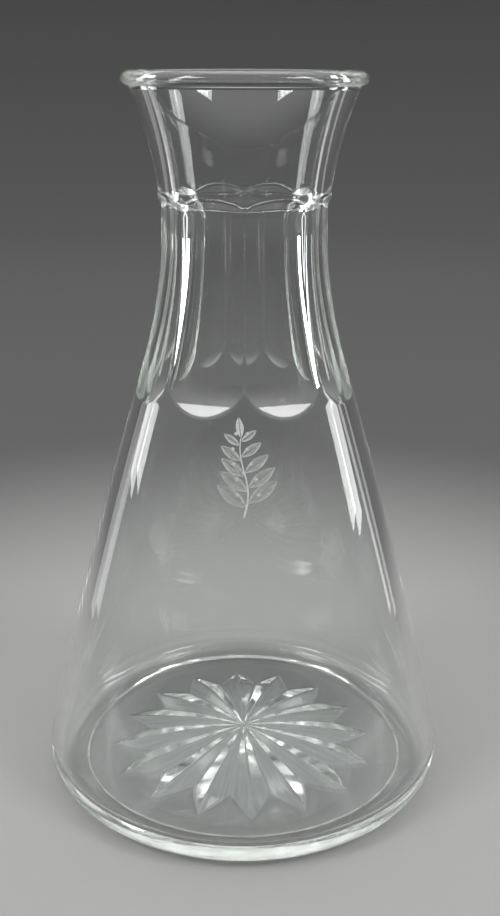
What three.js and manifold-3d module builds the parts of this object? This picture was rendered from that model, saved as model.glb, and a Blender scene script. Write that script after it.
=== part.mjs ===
// Water carafe in clear cut glass: a cone on a heavy star-cut base, a fluted neck and a flared mouth with a rolled lip.
// Millimetres, +Z up. The origin is the centre of the ring that the carafe stands on, and its front faces -Y.
// The vessel is one piece of glass, given here as five zones that meet on level planes.
import * as THREE from 'three';
import { mergeVertices } from 'three/addons/utils/BufferGeometryUtils.js';
import Module from 'manifold-3d';

// Heights of the zones, stacked from the table up
const baseHeight = 12;
const bodyHeight = 108;
const neckHeight = 59.5;
const mouthHeight = 26.6;
const lipHeight = 3.9;

// Outside radii, and how far the radius moves out for each millimetre up
const footRadius = 54.9;
const heelRadius = 61.9;
const heelHeight = 7.5;
const bodyFootRadius = 61.1;
const bodyFootSlope = -0.24;
const shoulderRadius = 32.3;
const shoulderSlope = -0.31;
const waistRadius = 23.9;
const waistBelowMouth = 11.5;
const throatRadius = 24.1;
const throatSlope = 0.12;
const flareRadius = 31.2;
const flareSlope = 0.42;

// Lip: a bead that stands proud of the flare
const lipRadius = 33.2;
const lipBoreRadius = 27;
const lipCrown = 2.3;

// Wall thickness, measured level
const heelWall = 4.2;
const shoulderWall = 4;
const waistWall = 5.4;
const throatWall = 4.2;

// Floor inside: thick in the middle and thin at its edge, where it turns up into the wall.
// The corner rises in an arc that turns through less than a right angle, so a fine crease shows round the floor.
const floorDome = 11.4;
const floorEdge = 3.6;
const floorEdgeRadius = 50.5;
const cornerRise = 4.6;
const cornerTurn = THREE.MathUtils.degToRad(60);

// Flutes, ground with flat faces that run out to nothing at the foot and stop at a ledge at the top
const fluteCount = 8;
const fluteDepth = 2.4;
const fluteFoot = 1.8;
const fluteRunout = 10.5;
const ledgeBelowMouth = 1.1;
const ledgeHeight = 3.1;

// Star of mitre cuts in the underside
const rayCount = 16;
const rayTipRadius = 41;
const rayDeepestRadius = 8;
const rayDepth = 4.1;
const mitreHalfAngle = THREE.MathUtils.degToRad(68);
const starTurn = THREE.MathUtils.degToRad(3.75);

// Fineness of the facets
const turnSteps = 64;
const wheelSteps = 120;

const bodyBottom = baseHeight;
const neckBottom = bodyBottom + bodyHeight;
const mouthBottom = neckBottom + neckHeight;
const lipBottom = mouthBottom + mouthHeight;
const waistLevel = mouthBottom - waistBelowMouth;

// A smooth curve between two levels, each with its radius and slope
function curve(z, z0, r0, slope0, z1, r1, slope1) {
  const span = z1 - z0;
  const t = (z - z0) / span;
  const stay = 1 - 3 * t * t + 2 * t * t * t;
  const leave = (t - 2 * t * t + t * t * t) * span;
  const arrive = (t * t * t - t * t) * span;
  return stay * r0 + (1 - stay) * r1 + leave * slope0 + arrive * slope1;
}

function bodyOutside(z) {
  return curve(z, bodyBottom, bodyFootRadius, bodyFootSlope, neckBottom, shoulderRadius, shoulderSlope);
}

function neckOutside(z) {
  if (z < waistLevel) {
    return curve(z, neckBottom, shoulderRadius, shoulderSlope, waistLevel, waistRadius, 0);
  }
  return curve(z, waistLevel, waistRadius, 0, mouthBottom, throatRadius, throatSlope);
}

function mouthOutside(z) {
  return curve(z, mouthBottom, throatRadius, throatSlope, lipBottom, flareRadius, flareSlope);
}

function bodyInside(z) {
  return bodyOutside(z) - curve(z, bodyBottom, heelWall, 0, neckBottom, shoulderWall, 0);
}

function neckInside(z) {
  if (z < waistLevel) {
    return neckOutside(z) - curve(z, neckBottom, shoulderWall, 0, waistLevel, waistWall, 0);
  }
  return neckOutside(z) - curve(z, waistLevel, waistWall, 0, mouthBottom, throatWall, 0);
}

function mouthInside(z) {
  return mouthOutside(z) - throatWall;
}

// Points of a wall between two levels, from the first level to the second
function wallPoints(radiusAt, from, to, steps) {
  const points = [];
  for (let i = 0; i <= steps; i++) {
    const z = i === steps ? to : from + ((to - from) * i) / steps;
    points.push(new THREE.Vector2(radiusAt(z), z));
  }
  return points;
}

// A quarter or half of an ellipse, by its centre, its half sizes and its start and end angle in degrees
function arcPoints(centre, halfWidth, halfHeight, start, end, steps) {
  const points = [];
  for (let i = 0; i <= steps; i++) {
    const angle = THREE.MathUtils.degToRad(start + ((end - start) * i) / steps);
    points.push(new THREE.Vector2(centre.x + halfWidth * Math.cos(angle), centre.y + halfHeight * Math.sin(angle)));
  }
  return points;
}

// Turns an outline of radius and height about +Z
function turned(outline) {
  const geometry = new THREE.LatheGeometry(outline, turnSteps);
  geometry.rotateX(Math.PI / 2);
  return geometry;
}

function closed(outline) {
  return [...outline, outline[0].clone()];
}

const wasm = await Module();
wasm.setup();

function toSolid(geometry) {
  const bare = geometry.clone();
  bare.deleteAttribute('normal');
  bare.deleteAttribute('uv');
  const merged = mergeVertices(bare, 1e-4);
  return new wasm.Manifold(new wasm.Mesh({
    numProp: 3,
    vertProperties: new Float32Array(merged.attributes.position.array),
    triVerts: new Uint32Array(merged.index.array),
  }));
}

function toGeometry(solid) {
  const mesh = solid.getMesh();
  const geometry = new THREE.BufferGeometry();
  geometry.setAttribute('position', new THREE.BufferAttribute(new Float32Array(mesh.vertProperties), 3));
  geometry.setIndex(new THREE.BufferAttribute(new Uint32Array(mesh.triVerts), 1));
  geometry.computeVertexNormals();
  return geometry;
}

function cutAll(blank, cutters) {
  let solid = toSolid(blank);
  for (const cutter of cutters) {
    solid = solid.subtract(toSolid(cutter));
  }
  return toGeometry(solid);
}

// A mitre wheel: a disc with a V edge, set under the base so that its rim grinds one ray of the star.
// Its radius follows from the length and the depth of the ray.
function rayWheel(angle) {
  const halfLength = rayTipRadius - rayDeepestRadius;
  const wheelRadius = (halfLength * halfLength + rayDepth * rayDepth) / (2 * rayDepth);
  const halfThickness = 2 * rayDepth * Math.tan(mitreHalfAngle);
  const shoulder = wheelRadius - halfThickness / Math.tan(mitreHalfAngle);
  const outline = [
    new THREE.Vector2(0, -halfThickness),
    new THREE.Vector2(shoulder, -halfThickness),
    new THREE.Vector2(wheelRadius, 0),
    new THREE.Vector2(shoulder, halfThickness),
    new THREE.Vector2(0, halfThickness),
  ];
  const wheel = new THREE.LatheGeometry(outline, wheelSteps);
  wheel.translate(rayDeepestRadius, 0, rayDepth - wheelRadius);
  wheel.rotateZ(angle);
  return wheel;
}

function starCutBase() {
  const heel = arcPoints(new THREE.Vector2(footRadius, heelHeight), heelRadius - footRadius, heelHeight, -90, 0, 6);
  const aboveHeel = (z) => curve(z, heelHeight, heelRadius, 0, bodyBottom, bodyFootRadius, bodyFootSlope);
  const cornerTop = floorEdge + cornerRise;
  const insideFoot = bodyFootRadius - heelWall;
  const cornerTopRadius = insideFoot + bodyFootSlope * (cornerTop - bodyBottom);
  const cornerWidth = (cornerTopRadius - floorEdgeRadius) / (1 - Math.cos(cornerTurn));
  const cornerHeight = cornerRise / Math.sin(cornerTurn);
  const cornerArc = arcPoints(
    new THREE.Vector2(cornerTopRadius - cornerWidth, cornerTop),
    cornerWidth, cornerHeight, 0, -THREE.MathUtils.radToDeg(cornerTurn), 5);
  const dome = [];
  const domeSteps = 7;
  for (let i = 1; i <= domeSteps; i++) {
    const radius = floorEdgeRadius * (1 - i / domeSteps);
    dome.push(new THREE.Vector2(radius, curve(radius, 0, floorDome, 0, floorEdgeRadius, floorEdge, 0)));
  }
  const outline = [
    new THREE.Vector2(0, 0),
    ...heel,
    ...wallPoints(aboveHeel, heelHeight, bodyBottom, 2).slice(1),
    new THREE.Vector2(insideFoot, bodyBottom),
    ...cornerArc,
    ...dome,
  ];
  const wheels = [];
  for (let i = 0; i < rayCount; i++) {
    wheels.push(rayWheel(starTurn + (i * 2 * Math.PI) / rayCount));
  }
  return cutAll(turned(outline), wheels);
}

function bodyCone() {
  return turned(closed([
    ...wallPoints(bodyOutside, bodyBottom, neckBottom, 6),
    ...wallPoints(bodyInside, neckBottom, bodyBottom, 6),
  ]));
}

// How deep the flute's face lies under the blank at one level, along the middle of the flute.
// It leaves the blank on a long curve at the foot and comes back to it on a short slope at the ledge.
function fluteDepthAt(z) {
  const short = Math.max(0, 1 - (z - neckBottom - fluteFoot) / fluteRunout);
  const runout = fluteDepth * (1 - short * short);
  const ledge = ((mouthBottom - ledgeBelowMouth - z) * fluteDepth) / ledgeHeight;
  return Math.min(runout, ledge);
}

// The levels at which the neck's outside and the flutes' faces change their slope
function neckLevels() {
  const foot = neckBottom + fluteFoot;
  const runoutTop = foot + fluteRunout;
  const ledgeTop = mouthBottom - ledgeBelowMouth;
  const ledgeFoot = ledgeTop - ledgeHeight;
  const runoutSteps = 6;
  const faceSteps = 6;
  const levels = [neckBottom];
  for (let i = 0; i < runoutSteps; i++) {
    levels.push(foot + (fluteRunout * i) / runoutSteps);
  }
  for (let i = 0; i < faceSteps; i++) {
    levels.push(runoutTop + ((ledgeFoot - runoutTop) * i) / faceSteps);
  }
  levels.push(ledgeFoot, ledgeTop, mouthBottom);
  return levels;
}

// A block outside one flute: its inner side has the long curve of the flute's face, and is flat across
function fluteBlock(angle) {
  const levels = neckLevels();
  const outside = 2 * shoulderRadius;
  const face = new THREE.Shape();
  face.moveTo(outside, levels[0]);
  for (const z of levels) {
    face.lineTo(neckOutside(z) - fluteDepthAt(z), z);
  }
  face.lineTo(outside, mouthBottom);
  face.closePath();
  const halfWidth = shoulderRadius / 2;
  const block = new THREE.ExtrudeGeometry(face, { depth: 2 * halfWidth, bevelEnabled: false });
  block.rotateX(Math.PI / 2);
  block.translate(0, halfWidth, 0);
  block.rotateZ(angle);
  return block;
}

function flutedNeck() {
  const blank = turned(closed([
    ...neckLevels().map((z) => new THREE.Vector2(neckOutside(z), z)),
    ...wallPoints(neckInside, mouthBottom, waistLevel, 2),
    ...wallPoints(neckInside, waistLevel, neckBottom, 6).slice(1),
  ]));
  const blocks = [];
  for (let i = 0; i < fluteCount; i++) {
    blocks.push(fluteBlock(((i + 0.5) * 2 * Math.PI) / fluteCount));
  }
  return cutAll(blank, blocks);
}

function flaredMouth() {
  return turned(closed([
    ...wallPoints(mouthOutside, mouthBottom, lipBottom, 5),
    ...wallPoints(mouthInside, lipBottom, mouthBottom, 5),
  ]));
}

function rolledLip() {
  const lipMiddle = lipBottom + lipHeight - lipCrown;
  const halfWidth = (lipRadius - lipBoreRadius) / 2;
  const crown = arcPoints(new THREE.Vector2(lipBoreRadius + halfWidth, lipMiddle), halfWidth, lipCrown, 0, 180, 8);
  const undercut = arcPoints(
    new THREE.Vector2(flareRadius, lipMiddle), lipRadius - flareRadius, lipMiddle - lipBottom, -90, 0, 3);
  return turned(closed([
    ...undercut,
    ...crown.slice(1),
    new THREE.Vector2(flareRadius - throatWall, lipBottom),
  ]));
}

const glass = new THREE.MeshStandardMaterial({
  name: 'clear_glass',
  color: 0xdde5e1,
  roughness: 0.04,
  metalness: 0,
  transparent: true,
  opacity: 0.35,
});

const carafe = new THREE.Group();
const zones = {
  star_cut_base: starCutBase(),
  body_cone: bodyCone(),
  fluted_neck: flutedNeck(),
  flared_mouth: flaredMouth(),
  rolled_lip: rolledLip(),
};
for (const [name, geometry] of Object.entries(zones)) {
  const zone = new THREE.Mesh(geometry, glass.clone());
  zone.name = name;
  carafe.add(zone);
}

export default carafe;
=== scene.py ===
# Clear cut-glass water carafe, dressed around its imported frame. Metres, +Z up, front towards -Y.
import math
import bmesh
import bpy
from mathutils import Matrix, Vector


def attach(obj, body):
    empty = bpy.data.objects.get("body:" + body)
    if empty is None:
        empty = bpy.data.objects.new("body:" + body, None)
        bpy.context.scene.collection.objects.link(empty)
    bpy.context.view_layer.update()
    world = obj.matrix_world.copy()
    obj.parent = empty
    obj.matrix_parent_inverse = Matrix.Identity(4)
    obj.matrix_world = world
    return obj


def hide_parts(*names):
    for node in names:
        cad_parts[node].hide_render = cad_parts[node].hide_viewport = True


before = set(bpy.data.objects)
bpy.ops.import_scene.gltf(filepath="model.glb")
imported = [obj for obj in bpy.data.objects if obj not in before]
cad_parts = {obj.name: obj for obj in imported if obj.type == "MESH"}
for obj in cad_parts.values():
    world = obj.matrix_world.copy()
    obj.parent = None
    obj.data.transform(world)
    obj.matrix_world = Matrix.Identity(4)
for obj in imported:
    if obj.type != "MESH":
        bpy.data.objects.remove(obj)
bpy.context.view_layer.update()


# Glass vessel
# One gather of clear glass, blown in a turned mould, with the lip sheared and melted round. Its base
# and neck are then ground on wheels and polished: eight flat flutes, and a star of sixteen mitre cuts.
mm = 0.001
foot_radius = 54.9 * mm
heel_radius = 61.9 * mm
heel_height = 7.5 * mm
body_bottom = 12 * mm
body_foot_radius = 61.1 * mm
body_foot_slope = -0.24
neck_bottom = 120 * mm
shoulder_radius = 32.3 * mm
shoulder_slope = -0.31
waist_level = 168 * mm
waist_radius = 23.9 * mm
mouth_bottom = 179.5 * mm
throat_radius = 24.1 * mm
throat_slope = 0.12
lip_bottom = 206.1 * mm
flare_radius = 31.2 * mm
flare_slope = 0.42
lip_top = 210 * mm
lip_radius = 33.2 * mm
lip_bore_radius = 27 * mm
lip_crown = 2.3 * mm

heel_wall = 4.2 * mm
shoulder_wall = 4 * mm
waist_wall = 5.4 * mm
throat_wall = 4.2 * mm
floor_dome = 11.4 * mm
floor_edge = 3.6 * mm
floor_edge_radius = 50.5 * mm
corner_rise = 4.6 * mm
corner_degrees = 60

flute_count = 8
flute_depth = 2.4 * mm
flute_foot = 121.8 * mm
flute_runout = 10.5 * mm
ledge_foot = 175.3 * mm
ledge_top = 178.4 * mm

ray_count = 16
star_turn = math.radians(3.75)
ray_tip_radius = 41 * mm
ray_deepest_radius = 8 * mm
ray_depth = 4.1 * mm
mitre_half_angle = math.radians(68)


def curve(z, z0, r0, slope0, z1, r1, slope1):
    """A smooth curve between two levels, each with its radius and slope."""
    span = z1 - z0
    t = (z - z0) / span
    stay = 1 - 3 * t * t + 2 * t**3
    leave = (t - 2 * t * t + t**3) * span
    arrive = (t**3 - t * t) * span
    return stay * r0 + (1 - stay) * r1 + leave * slope0 + arrive * slope1


def outside(z):
    """Radius of the blown blank outside, above the heel and below the lip."""
    if z < heel_height:
        return heel_radius
    if z < body_bottom:
        return curve(z, heel_height, heel_radius, 0, body_bottom, body_foot_radius, body_foot_slope)
    if z < neck_bottom:
        return curve(
            z, body_bottom, body_foot_radius, body_foot_slope, neck_bottom, shoulder_radius, shoulder_slope)
    if z < waist_level:
        return curve(z, neck_bottom, shoulder_radius, shoulder_slope, waist_level, waist_radius, 0)
    if z < mouth_bottom:
        return curve(z, waist_level, waist_radius, 0, mouth_bottom, throat_radius, throat_slope)
    return curve(z, mouth_bottom, throat_radius, throat_slope, lip_bottom, flare_radius, flare_slope)


def inside(z):
    """Radius of the hollow, between the corner of the floor and the lip."""
    if z < body_bottom:
        return body_foot_radius - heel_wall + body_foot_slope * (z - body_bottom)
    if z < neck_bottom:
        return outside(z) - curve(z, body_bottom, heel_wall, 0, neck_bottom, shoulder_wall, 0)
    if z < waist_level:
        return outside(z) - curve(z, neck_bottom, shoulder_wall, 0, waist_level, waist_wall, 0)
    if z < mouth_bottom:
        return outside(z) - curve(z, waist_level, waist_wall, 0, mouth_bottom, throat_wall, 0)
    return outside(z) - throat_wall


def dome(radius):
    """Height of the inner floor at a radius."""
    return curve(radius, 0, floor_dome, 0, floor_edge_radius, floor_edge, 0)


def steps(first, last, count):
    """Even values from the first towards the last, without the last."""
    return [first + (last - first) * i / count for i in range(count)]


def levels(stretches):
    """Heights of the rows of mesh in stretches of wall, each with its start, its end and its rows."""
    return [z for start, end, rows in stretches for z in steps(start, end, rows)]


def arc(centre, half_width, half_height, start, end, count):
    """Part of an ellipse, by its centre, half sizes, and start and end angle in degrees."""
    angles = [math.radians(a) for a in steps(start, end, count)] + [math.radians(end)]
    return [(centre[0] + half_width * math.cos(a), centre[1] + half_height * math.sin(a)) for a in angles]


# The outline runs from the middle of the underside out, up, over the lip and down to the inner floor.
turn_steps = 192
star_rows = 16
ring_rows = 6
heel_rows = 14
lip_foot_rows = 7
lip_rows = 22
corner_rows = 12
dome_rows = 18
runout_top = flute_foot + flute_runout
corner_top = floor_edge + corner_rise
outer_wall = (
    (heel_height, body_bottom, 4), (body_bottom, neck_bottom, 24), (neck_bottom, flute_foot, 3),
    (flute_foot, runout_top, 12), (runout_top, ledge_foot, 22), (ledge_foot, ledge_top, 4),
    (ledge_top, mouth_bottom, 2), (mouth_bottom, lip_bottom, 12))
inner_wall = (
    (lip_bottom, mouth_bottom, 12), (mouth_bottom, neck_bottom, 26), (neck_bottom, body_bottom, 22),
    (body_bottom, corner_top, 2))

outline = [(r, 0) for r in steps(0, ray_tip_radius, star_rows)]
outline += [(r, 0) for r in steps(ray_tip_radius, foot_radius, ring_rows)]
outline += arc((foot_radius, heel_height), heel_radius - foot_radius, heel_height, -90, 0, heel_rows)
outline += [(outside(z), z) for z in levels(outer_wall)[1:]]

lip_middle = lip_top - lip_crown
lip_half_width = (lip_radius - lip_bore_radius) / 2
outline += arc(
    (flare_radius, lip_middle), lip_radius - flare_radius, lip_middle - lip_bottom, -90, 0, lip_foot_rows)
outline += arc(
    (lip_bore_radius + lip_half_width, lip_middle), lip_half_width, lip_crown, 0, 180, lip_rows)[1:]
outline += [(inside(z), z) for z in levels(inner_wall)]

corner_width = (inside(corner_top) - floor_edge_radius) / (1 - math.cos(math.radians(corner_degrees)))
corner_height = corner_rise / math.sin(math.radians(corner_degrees))
outline += arc(
    (inside(corner_top) - corner_width, corner_top), corner_width, corner_height,
    0, -corner_degrees, corner_rows)
outline += [(r, dome(r)) for r in steps(floor_edge_radius, 0, dome_rows)[1:] + [0]]


def turned(outline, turn_steps):
    """A mesh spun round the axis from an outline of radii and heights."""
    mesh = bmesh.new()
    verts = [mesh.verts.new((r, 0, z)) for r, z in outline]
    edges = [mesh.edges.new(pair) for pair in zip(verts, verts[1:])]
    bmesh.ops.spin(
        mesh, geom=verts + edges, cent=(0, 0, 0), axis=(0, 0, 1), dvec=(0, 0, 0),
        angle=2 * math.pi, steps=turn_steps, use_merge=True)
    bmesh.ops.remove_doubles(mesh, verts=mesh.verts, dist=1e-7)
    return mesh


def from_nearest(angle, count, offset):
    """The angle from the nearest of so many equal directions, one of them at the offset."""
    pitch = 2 * math.pi / count
    return (angle - offset + pitch / 2) % pitch - pitch / 2


def solve(gap, low, high):
    """The place between low and high where the gap changes sign, by halving 50 times."""
    rising = gap(high) > 0
    for _ in range(50):
        middle = (low + high) / 2
        if (gap(middle) > 0) == rising:
            high = middle
        else:
            low = middle
    return (low + high) / 2


def stretched(value, old, new):
    """Moves a value with the marks around it from their old places to their new ones."""
    for i in range(len(old) - 1):
        if old[i] <= value <= old[i + 1]:
            return new[i] + (new[i + 1] - new[i]) * (value - old[i]) / (old[i + 1] - old[i])
    return value


def polar_of(vert):
    """Radius, angle round the axis and height of a point of a mesh."""
    x, y, z = vert.co
    return math.hypot(x, y), math.atan2(y, x), z


def point(radius, around, height):
    """The place with this radius, angle round the axis and height."""
    return (radius * math.cos(around), radius * math.sin(around), height)


def runout_depth(z):
    """How deep the middle of a flute lies under the blank, where it leaves it on the wheel's curve."""
    short = max(0.0, 1 - (z - flute_foot) / flute_runout)
    return flute_depth * (1 - short * short)


def ledge_depth(z):
    """How deep the middle of a flute lies under the blank, on the short slope at its top."""
    return flute_depth * (ledge_top - z) / (ledge_top - ledge_foot)


# The rows of the neck move up or down onto the rim of each flute, and in onto its flat face.
mesh = turned(outline, turn_steps)
bmesh.ops.recalc_face_normals(mesh, faces=mesh.faces)
flute_marks = (neck_bottom, flute_foot, runout_top, ledge_foot, ledge_top, mouth_bottom)
for vert in mesh.verts:
    radius, around, z = polar_of(vert)
    if not neck_bottom < z < mouth_bottom or radius < (outside(z) + inside(z)) / 2:
        continue
    off = from_nearest(around, flute_count, math.pi / flute_count)
    bow = 1 - math.cos(off)
    foot = solve(lambda h: runout_depth(h) - outside(h) * bow, flute_foot, runout_top)
    top = solve(lambda h: ledge_depth(h) - outside(h) * bow, ledge_foot, ledge_top)
    height = stretched(z, flute_marks, (neck_bottom, foot, runout_top, ledge_foot, top, mouth_bottom))
    face = (outside(height) - min(runout_depth(height), ledge_depth(height))) / math.cos(off)
    vert.co = point(min(outside(height), face), around, height)

half_length = ray_tip_radius - ray_deepest_radius
wheel_radius = (half_length**2 + ray_depth**2) / (2 * ray_depth)


def groove(radius, off):
    """Depth of the nearest mitre cut, at a radius and an angle off that ray."""
    along = radius * math.cos(off) - ray_deepest_radius
    across = radius * abs(math.sin(off))
    bottom = ray_depth - wheel_radius + math.sqrt(wheel_radius**2 - along**2)
    return bottom - across / math.tan(mitre_half_angle)


# The rings of the underside move in or out onto the edge of the star, and up into its cuts.
near_enough = 1e-6
for vert in mesh.verts:
    radius, around, z = polar_of(vert)
    if z > near_enough or radius > foot_radius - near_enough:
        continue
    off = from_nearest(around, ray_count, star_turn)
    edge = solve(lambda r: groove(r, off), ray_deepest_radius, ray_tip_radius)
    radius = stretched(radius, (0, ray_tip_radius, foot_radius), (0, edge, foot_radius))
    vert.co = point(radius, around, max(0.0, groove(radius, off)))

crease = math.radians(12)
for edge in mesh.edges:
    edge.smooth = edge.calc_face_angle(0) < crease
for face in mesh.faces:
    face.smooth = True


def made(mesh, name):
    """A new object with the finished mesh."""
    data = bpy.data.meshes.new(name)
    mesh.to_mesh(data)
    mesh.free()
    piece = bpy.data.objects.new(name, data)
    bpy.context.collection.objects.link(piece)
    return piece


vessel = made(mesh, "glass_vessel")


def fed(tree, socket, value):
    """Gives a socket what it reads: another socket, or a plain value."""
    if isinstance(value, bpy.types.NodeSocket):
        tree.links.new(value, socket)
    else:
        socket.default_value = value


def measured(tree, operation, first, second=0):
    """The result of a Math node."""
    node = tree.nodes.new("ShaderNodeMath")
    node.operation = operation
    fed(tree, node.inputs[0], first)
    fed(tree, node.inputs[1], second)
    return node.outputs["Value"]


def ranged(tree, value, low, high, new_low, new_high):
    """A value brought evenly from one range to another, and held at its ends."""
    node = tree.nodes.new("ShaderNodeMapRange")
    fed(tree, node.inputs["Value"], value)
    for name, end in (("From Min", low), ("From Max", high), ("To Min", new_low), ("To Max", new_high)):
        fed(tree, node.inputs[name], end)
    return node.outputs["Result"]


def grain(tree, vector, scale, detail):
    """Soft random grain along a vector."""
    node = tree.nodes.new("ShaderNodeTexNoise")
    fed(tree, node.inputs["Vector"], vector)
    fed(tree, node.inputs["Scale"], scale)
    fed(tree, node.inputs["Detail"], detail)
    return node.outputs["Fac"]


def effect(name, values, results):
    """A node group for an effect: the place it reads, the values it is given and what it puts out."""
    group = bpy.data.node_groups.new(name, "ShaderNodeTree")
    group.interface.new_socket(name="Place", in_out="INPUT", socket_type="NodeSocketVector")
    for value in values:
        group.interface.new_socket(name=value, in_out="INPUT", socket_type="NodeSocketFloat")
    for result in results:
        group.interface.new_socket(name=result, in_out="OUTPUT", socket_type="NodeSocketFloat")
    return group, group.nodes.new("NodeGroupInput").outputs, group.nodes.new("NodeGroupOutput").inputs


def worked(tree, group, place, values):
    """The results of an effect that is placed in a material with its own values."""
    node = tree.nodes.new("ShaderNodeGroup")
    node.node_tree = group
    fed(tree, node.inputs["Place"], place)
    for name, value in values.items():
        fed(tree, node.inputs[name], value)
    return node.outputs


# Nearly all of the grain lies between these two values.
grain_low = 0.3
grain_high = 0.7

# Mottle: fine patches of more and less, as in scuffs, the breaks in the painted pale line, and acid frost.
mottle, given, result = effect("mottle", ("Scale", "Detail", "From", "To", "Least", "Most"), ("Amount",))
patches = grain(mottle, given["Place"], given["Scale"], given["Detail"])
fed(mottle, result["Amount"], ranged(
    mottle, patches, given["From"], given["To"], given["Least"], given["Most"]))

# Ray streaks: fine lines that run out from the axis, as a grinding wheel leaves them along each cut.
streak_stretch = 3
streak_scale = 24
ray_streaks, given, result = effect("ray_streaks", ("Least", "Most"), ("Amount", "Radius"))
axes = ray_streaks.nodes.new("ShaderNodeSeparateXYZ")
fed(ray_streaks, axes.inputs["Vector"], given["Place"])
squares = [measured(ray_streaks, "POWER", axes.outputs[name], 2) for name in ("X", "Y")]
radius = measured(ray_streaks, "SQRT", measured(ray_streaks, "ADD", *squares))
polar = ray_streaks.nodes.new("ShaderNodeCombineXYZ")
fed(ray_streaks, polar.inputs["X"], measured(ray_streaks, "ARCTAN2", axes.outputs["Y"], axes.outputs["X"]))
fed(ray_streaks, polar.inputs["Y"], measured(ray_streaks, "MULTIPLY", radius, streak_stretch))
streaks = grain(ray_streaks, polar.outputs["Vector"], streak_scale, 1)
fed(ray_streaks, result["Amount"], ranged(
    ray_streaks, streaks, grain_low, grain_high, given["Least"], given["Most"]))
fed(ray_streaks, result["Radius"], radius)


def new_material(name):
    """A new material: itself, its nodes, its shader and the place of each point on the piece."""
    material = bpy.data.materials.new(name)
    material.use_nodes = True
    tree = material.node_tree
    place = tree.nodes.new("ShaderNodeTexCoord").outputs["Object"]
    return material, tree, tree.nodes["Principled BSDF"], place


clear_glass, tree, glass, place = new_material("clear_glass")
glass.inputs["Base Color"].default_value = (0.985, 0.995, 0.99, 1)
glass.inputs["IOR"].default_value = 1.53
glass.inputs["Transmission Weight"].default_value = 1.0
depth_tint = tree.nodes.new("ShaderNodeVolumeAbsorption")
depth_tint.inputs["Color"].default_value = (0.88, 0.92, 0.88, 1)
depth_tint.inputs["Density"].default_value = 5.0
fed(tree, tree.nodes["Material Output"].inputs["Volume"], depth_tint.outputs["Volume"])

# The cut faces of the star are left a little dull from the stone, in streaks along each ray.
above_ring = 0.02 * mm
above_rays = ray_depth + 0.1 * mm
axes = tree.nodes.new("ShaderNodeSeparateXYZ")
fed(tree, axes.inputs["Vector"], place)
height = axes.outputs["Z"]
streaks = worked(tree, ray_streaks, place, {"Least": 0.05, "Most": 0.13})
in_star = measured(tree, "LESS_THAN", streaks["Radius"], ray_tip_radius)
over_ring = measured(tree, "GREATER_THAN", height, above_ring)
under_floor = measured(tree, "LESS_THAN", height, above_rays)
facet = measured(tree, "MULTIPLY", in_star, measured(tree, "MULTIPLY", over_ring, under_floor))
cut_dullness = measured(tree, "MULTIPLY", facet, streaks["Amount"])

# The ring that it stands on is worn dull by years of tables.
ring_height = 0.3 * mm
ring_inner_radius = ray_tip_radius + 2 * mm
on_table = measured(tree, "LESS_THAN", height, ring_height)
round_star = measured(tree, "GREATER_THAN", streaks["Radius"], ring_inner_radius)
scuffs = worked(
    tree, mottle, place,
    {"Scale": 900, "Detail": 4, "From": 0.5, "To": 0.7, "Least": 0.0, "Most": 0.25})["Amount"]
wear = measured(tree, "MULTIPLY", measured(tree, "MULTIPLY", on_table, round_star), scuffs)
fed(tree, glass.inputs["Roughness"], measured(tree, "ADD", cut_dullness, wear))

# The blown wall has a faint draw along its height, which bends what is seen in it.
draw_depth = 0.05 * mm
draw_scale = 40
draw_length = 0.35
drawn = tree.nodes.new("ShaderNodeMapping")
drawn.inputs["Scale"].default_value = (1, 1, draw_length)
fed(tree, drawn.inputs["Vector"], place)
draw = tree.nodes.new("ShaderNodeBump")
draw.inputs["Strength"].default_value = 1.0
draw.inputs["Distance"].default_value = draw_depth
fed(tree, draw.inputs["Height"], grain(tree, drawn.outputs["Vector"], draw_scale, 1))
fed(tree, glass.inputs["Normal"], draw.outputs["Normal"])
vessel.data.materials.append(clear_glass)
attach(vessel, "root")
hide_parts("star_cut_base", "body_cone", "fluted_neck", "flared_mouth", "rolled_lip")


# Painted light on the star
# The star's cut faces are brightened by a thin pale sheet laid just under them: painted light that stands
# in for the light they catch and reflect, in streaks that run along each ray.
painted_light_gap = 0.03 * mm
painted_light_skin = 0.02 * mm


def film(mesh, seen_from, thickness):
    """Turns a thin sheet to the side that it is seen from, and gives it its thickness."""
    bmesh.ops.recalc_face_normals(mesh, faces=mesh.faces)
    for face in mesh.faces:
        if face.normal.dot(seen_from) < 0:
            face.normal_flip()
    bmesh.ops.solidify(mesh, geom=mesh.faces, thickness=thickness)
    bmesh.ops.recalc_face_normals(mesh, faces=mesh.faces)


mesh = turned([(r, 0) for r in steps(0, ray_tip_radius, star_rows) + [ray_tip_radius]], turn_steps)
for vert in mesh.verts:
    radius, around, _ = polar_of(vert)
    off = from_nearest(around, ray_count, star_turn)
    edge = solve(lambda r: groove(r, off) - painted_light_gap - painted_light_skin, ray_deepest_radius, ray_tip_radius)
    radius *= edge / ray_tip_radius
    vert.co = point(radius, around, groove(radius, off) - painted_light_gap)
film(mesh, Vector((0, 0, -1)), painted_light_skin)
painted_star_sheet = made(mesh, "star_painted_light")

# Painted light: a pale rough paint seen through the cut faces, so that they read brighter.
painted_star_light, tree, grey, place = new_material("painted_star_light")
grey.inputs["Base Color"].default_value = (0.95, 0.97, 0.97, 1)
grey.inputs["Roughness"].default_value = 0.8
streaks = worked(tree, ray_streaks, place, {"Least": 0.48, "Most": 0.62})
fed(tree, grey.inputs["Alpha"], streaks["Amount"])
painted_star_sheet.data.materials.append(painted_star_light)
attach(painted_star_sheet, "root")


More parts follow.
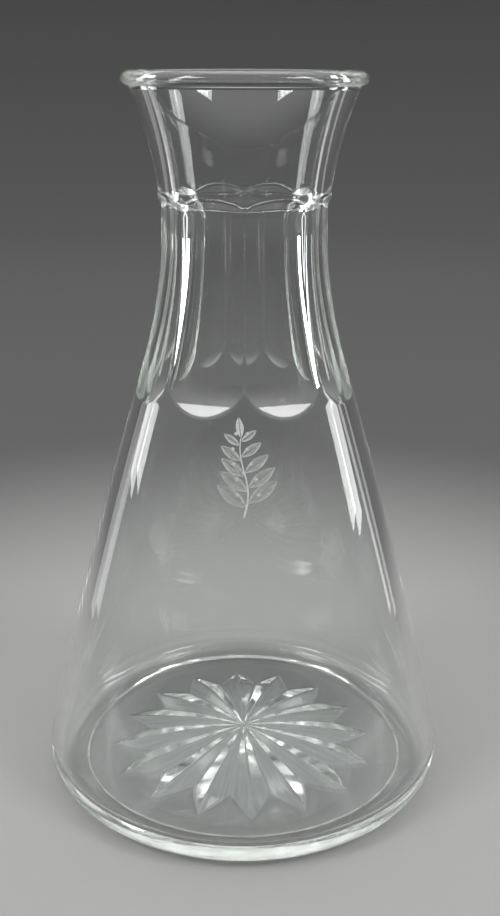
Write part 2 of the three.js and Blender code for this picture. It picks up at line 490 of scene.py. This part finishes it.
# Painted pale line
# A fine pale line is painted round the inside, where the floor turns up into the wall: a painted highlight
# where the glass there catches the light. It is only a skin on the glass, broken in places.
pale_line_radius = 50.1 * mm
pale_line_width = 0.6 * mm
pale_line_skin = 0.02 * mm
pale_line_edges = (pale_line_radius - pale_line_width / 2, pale_line_radius, pale_line_radius + pale_line_width / 2)
mesh = turned([(r, dome(r) + pale_line_skin) for r in pale_line_edges], turn_steps)
film(mesh, Vector((0, 0, 1)), pale_line_skin / 2)
painted_highlight_line = made(mesh, "painted_highlight_line")

# Painted highlight: a pale rough paint, broken in places by the mottle.
painted_highlight_white, tree, highlight_paint, place = new_material("painted_highlight_white")
highlight_paint.inputs["Base Color"].default_value = (0.9, 0.9, 0.88, 1)
highlight_paint.inputs["Roughness"].default_value = 0.9
breaks = worked(
    tree, mottle, place,
    {"Scale": 120, "Detail": 4, "From": grain_low, "To": grain_high, "Least": 0.2, "Most": 0.8})
fed(tree, highlight_paint.inputs["Alpha"], breaks["Amount"])
painted_highlight_line.data.materials.append(painted_highlight_white)
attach(painted_highlight_line, "root")


# Etched sprig
# A small leafy sprig on the front of the cone, below the flutes. It is bitten into the surface with
# acid through a stencil, so it is a flat pale frost with no depth that could be felt.
sprig_middle = 109 * mm
sprig_height = 25 * mm
sprig_skin = 0.02 * mm

# Places up the stem are shares of the sprig's height, and widths of the stem are shares of its width.
stem_width = 0.5 * mm
stem_bow = 1.1 * mm
stem_length = 0.86
stem_rows = 30
foot_broadness = 1.15
tip_broadness = 0.55

leaf_pairs = 5
lowest_pair = 0.14
pair_spread = 0.66
pair_stagger = 0.02
longest_leaf = 9.6 * mm
shortest_leaf = 5 * mm
shrink_power = 1.3
leaf_slimness = 0.36
leaf_lean = math.radians(54)
leaf_offset = 0.25 * mm
leaf_points = 20
vein_gap = 0.16 * mm

end_leaf_length = 1.1 * shortest_leaf
end_leaf_lean = 0.12

# Each berry sits a little up the stem from its leaf, and stands out by shares of that leaf's length.
berry_radius = 0.5 * mm
berry_points = 12
berry_rise = 0.1
berry_reach = 0.3
berry_lift = 0.02


def stem_at(share):
    """The stem's place on the flat stencil, from its foot at 0 to its tip at 1."""
    return Vector((stem_bow * math.sin(2 * math.pi * share), (share - 0.5) * sprig_height, 0))


def half_leaf(mesh, foot, angle, length, side):
    """One side of a pointed leaf, cut off along its vein."""
    shape = bmesh.ops.create_circle(mesh, cap_ends=True, radius=1, segments=leaf_points)["verts"]
    disc = shape[0].link_faces[0]
    cut = bmesh.ops.bisect_plane(
        mesh, geom=shape + list(disc.edges) + [disc], plane_co=(0, 0, 0), plane_no=(0, -side, 0),
        clear_outer=True)
    kept = {v for item in cut["geom"] if isinstance(item, bmesh.types.BMFace) for v in item.verts}
    turn = Matrix.Rotation(angle, 4, "Z")
    for vert in kept:
        along, across, _ = vert.co
        flat = Vector((length * (1 + along) / 2, length * leaf_slimness * across * abs(across) / 2, 0))
        flat.y += side * vein_gap / 2
        vert.co = foot + turn @ flat


mesh = bmesh.new()
stem = bmesh.ops.create_grid(mesh, x_segments=1, y_segments=stem_rows, size=1)["verts"]
for vert in stem:
    across, along, _ = vert.co
    share = (along + 1) / 2
    broadness = foot_broadness + (tip_broadness - foot_broadness) * share
    vert.co = stem_at(share * stem_length) + Vector((across * stem_width / 2 * broadness, 0, 0))
for pair in range(leaf_pairs):
    up = pair / (leaf_pairs - 1)
    share = lowest_pair + pair_spread * up
    length = longest_leaf + (shortest_leaf - longest_leaf) * up**shrink_power
    for hand in (-1, 1):
        angle = math.pi / 2 - hand * leaf_lean
        foot = stem_at(share + pair_stagger * hand) + Vector((leaf_offset * hand, 0, 0))
        for side in (-1, 1):
            half_leaf(mesh, foot, angle, length, side)
        berry = stem_at(share + berry_rise)
        berry += Vector((hand * berry_reach * length, berry_lift * length, 0))
        dot = bmesh.ops.create_circle(
            mesh, cap_ends=True, radius=berry_radius, segments=berry_points)["verts"]
        bmesh.ops.translate(mesh, verts=dot, vec=berry)
for side in (-1, 1):
    half_leaf(mesh, stem_at(stem_length), math.pi / 2 + end_leaf_lean, end_leaf_length, side)

# The flat stencil is laid round the cone.
for vert in mesh.verts:
    height = sprig_middle + vert.co.y * math.cos(math.atan(shoulder_slope))
    angle = vert.co.x / outside(height) - math.pi / 2
    vert.co = point(outside(height) + sprig_skin, angle, height)
film(mesh, Vector((0, -1, 0)), sprig_skin)
sprig = made(mesh, "etched_sprig")

etched_frost, tree, frost, place = new_material("etched_frost")
frost.inputs["Base Color"].default_value = (0.82, 0.83, 0.82, 1)
frost.inputs["Roughness"].default_value = 0.85
bite = worked(
    tree, mottle, place,
    {"Scale": 2600, "Detail": 3, "From": grain_low, "To": grain_high, "Least": 0.6, "Most": 1.0})
fed(tree, frost.inputs["Alpha"], bite["Amount"])
sprig.data.materials.append(etched_frost)
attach(sprig, "root")


# Table and sweep
# A plain pale floor that turns up into a round backdrop, so that every side of the carafe has the
# same quiet ground behind it. The paint gets darker with distance, which lets the rim of the glass show.
floor_radius = 1.6
floor_drop = 0.2 * mm
floor_rows = 8
sweep_radius = 0.5
sweep_rows = 12
sweep_turn_steps = 96
pale_reach = 0.08
dim_reach = 0.34
pale_paint = (0.39, 0.39, 0.385, 1)
dim_paint = (0.10, 0.10, 0.10, 1)


def graded(tree, value, start, end, first_tone, last_tone):
    """A tone that passes softly from the first to the last as a value rises from start to end."""
    shade = tree.nodes.new("ShaderNodeMapRange")
    shade.interpolation_type = "SMOOTHSTEP"
    fed(tree, shade.inputs["Value"], value)
    fed(tree, shade.inputs["From Min"], start)
    fed(tree, shade.inputs["From Max"], end)
    tone = tree.nodes.new("ShaderNodeMix")
    tone.data_type = "RGBA"
    fed(tree, tone.inputs["Factor"], shade.outputs["Result"])
    fed(tree, tone.inputs["A"], first_tone)
    fed(tree, tone.inputs["B"], last_tone)
    return tone.outputs["Result"]


flat_radius = floor_radius - sweep_radius
outline = [(r, -floor_drop) for r in steps(0, flat_radius, floor_rows)]
outline += arc((flat_radius, sweep_radius - floor_drop), sweep_radius, sweep_radius, -90, 0, sweep_rows)
mesh = turned(outline, sweep_turn_steps)
for face in mesh.faces:
    face.smooth = True
sweep = made(mesh, "studio_sweep")

studio_paint, tree, paint, place = new_material("studio_paint")
paint.inputs["Roughness"].default_value = 0.9
reach = tree.nodes.new("ShaderNodeVectorMath")
reach.operation = "LENGTH"
fed(tree, reach.inputs[0], place)
fed(tree, paint.inputs["Base Color"], graded(
    tree, reach.outputs["Value"], pale_reach, dim_reach, pale_paint, dim_paint))
sweep.data.materials.append(studio_paint)


# Studio light
# Two soft panels high in front light everything. Two side panels and two slim strips behind the
# carafe are seen only in the glass, as long bright lines down its edges. A soft sky fills the rest.
panel_aim = Vector((0, 0, 0.1))


def soft_panel(name, place, width, height, power):
    """An area light at a place, turned to the middle of the carafe."""
    data = bpy.data.lights.new(name, "AREA")
    data.shape = "RECTANGLE"
    data.size = width
    data.size_y = height
    data.energy = power
    panel = bpy.data.objects.new(name, data)
    bpy.context.collection.objects.link(panel)
    panel.location = place
    panel.rotation_euler = (panel_aim - Vector(place)).to_track_quat("-Z", "Y").to_euler()
    panel.visible_camera = False
    return panel


# Each panel has its name, its place, its width and height, and its power in watts.
high_panels = (
    ("high_left_panel", (-0.71, -0.41, 0.98), 0.35, 0.3, 3.6),
    ("high_right_panel", (0.71, -0.41, 0.98), 0.35, 0.3, 3.6))
edge_panels = (
    ("left_panel", (-0.6, 0.21, 0.29), 0.12, 0.5, 1.0),
    ("right_panel", (0.6, 0.14, 0.27), 0.11, 0.5, 1.2),
    ("left_strip", (-0.15, 0.07, 0.15), 0.026, 0.3, 0.026),
    ("right_strip", (0.15, 0.07, 0.15), 0.013, 0.3, 0.018))
for panel in high_panels:
    soft_panel(*panel)
for panel in edge_panels:
    soft_panel(*panel).visible_diffuse = False

sky_start = 0.28
sky_end = 0.6
low_sky = (0.06, 0.06, 0.06, 1)
high_sky = (0.95, 0.95, 0.95, 1)
world = bpy.data.worlds.new("studio_air")
world.use_nodes = True
tree = world.node_tree
direction = tree.nodes.new("ShaderNodeTexCoord")
axes = tree.nodes.new("ShaderNodeSeparateXYZ")
fed(tree, axes.inputs["Vector"], direction.outputs["Generated"])
air = graded(tree, axes.outputs["Z"], sky_start, sky_end, low_sky, high_sky)
fed(tree, tree.nodes["Background"].inputs["Color"], air)
bpy.context.scene.world = world


# Camera
# It stands a little higher than the lip and looks down at the front of the carafe. Light is followed
# through many bounces, because it crosses the glass again and again before it leaves it.
camera_place = Vector((0, -0.3152, 0.2130))
look_down = math.radians(19.71)
turn_right = math.radians(0.3235)
roll = math.radians(0.23)
focal_pixels = 1117.6
frame_height_pixels = 916
light_bounces = 96
glint_softness = 0.4
camera_data = bpy.data.cameras.new("camera")
camera_data.sensor_width = 36
camera_data.lens = camera_data.sensor_width * focal_pixels / frame_height_pixels
camera_data.clip_start = 0.01
camera = bpy.data.objects.new("camera", camera_data)
bpy.context.collection.objects.link(camera)
turn = Matrix.Rotation(-turn_right, 4, "Z")
tilt = Matrix.Rotation(math.pi / 2 - look_down, 4, "X")
camera.matrix_world = Matrix.Translation(camera_place) @ turn @ tilt @ Matrix.Rotation(roll, 4, "Z")

scene = bpy.context.scene
scene.camera = camera
scene.view_settings.view_transform = "Standard"
scene.cycles.max_bounces = light_bounces
scene.cycles.transmission_bounces = light_bounces
scene.cycles.glossy_bounces = light_bounces
scene.cycles.blur_glossy = glint_softness
